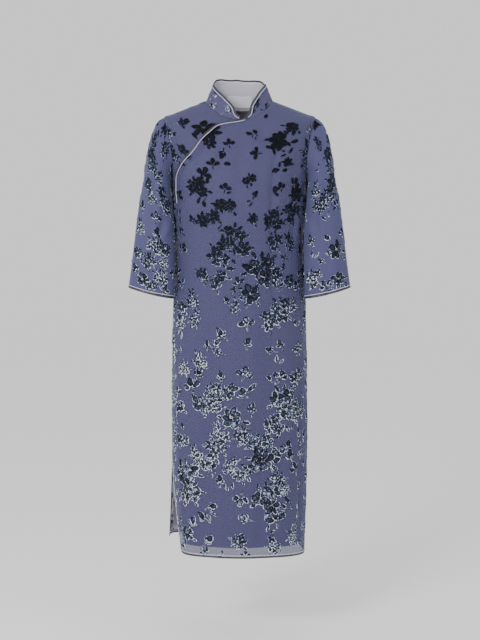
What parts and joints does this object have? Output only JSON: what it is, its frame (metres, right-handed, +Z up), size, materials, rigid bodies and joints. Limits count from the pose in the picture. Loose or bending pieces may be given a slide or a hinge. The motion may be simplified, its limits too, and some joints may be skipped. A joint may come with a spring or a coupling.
{
  "type": "midi dress",
  "caption": "Slim midi dress with a stand collar, piped slant opening, three-quarter sleeves and one side slit, in burnt-out velvet flowers on sheer georgette over a slip lining, hollow as worn",
  "frame": {"origin": "Midway between the neck ends of the two shoulder seams, a few millimetres below them, where the wearer's shoulders carry the dress", "axes": "+Z is up, the front faces -Y and the wearer's left is +X, so the slant opening and the slit are on the -X side"},
  "size_m": [0.5486, 0.2598, 1.1857],
  "materials": {
    "velvet_georgette": "burnt-out velvet flowers on a crepe georgette ground",
    "satin_facing": "pale grey-lilac satin",
    "slip_lining": "smooth woven lining",
    "dark_binding": "dark satin binding",
    "pale_piping": "pale satin piping cord",
    "woven_label": "blank woven satin label"
  },
  "bodies": {
    "root": {"front": "velvet_georgette", "under_front": "velvet_georgette", "back": "velvet_georgette", "sleeve_right": "velvet_georgette", "sleeve_left": "velvet_georgette", "collar": "velvet_georgette", "collar_facing": "satin_facing", "lining_front": "slip_lining", "lining_back": "slip_lining", "neck_label": "woven_label", "collar_binding": "dark_binding", "opening_binding": "dark_binding", "cuff_right_binding": "dark_binding", "cuff_left_binding": "dark_binding", "hem_front_binding": "dark_binding", "hem_back_binding": "dark_binding", "slit_front_binding": "dark_binding", "slit_back_binding": "dark_binding", "collar_piping": "pale_piping", "opening_piping": "pale_piping", "cuff_right_piping": "pale_piping", "cuff_left_piping": "pale_piping", "hem_front_piping": "pale_piping", "hem_back_piping": "pale_piping", "slit_front_piping": "pale_piping", "slit_back_piping": "pale_piping"}
  },
  "joints": []
}
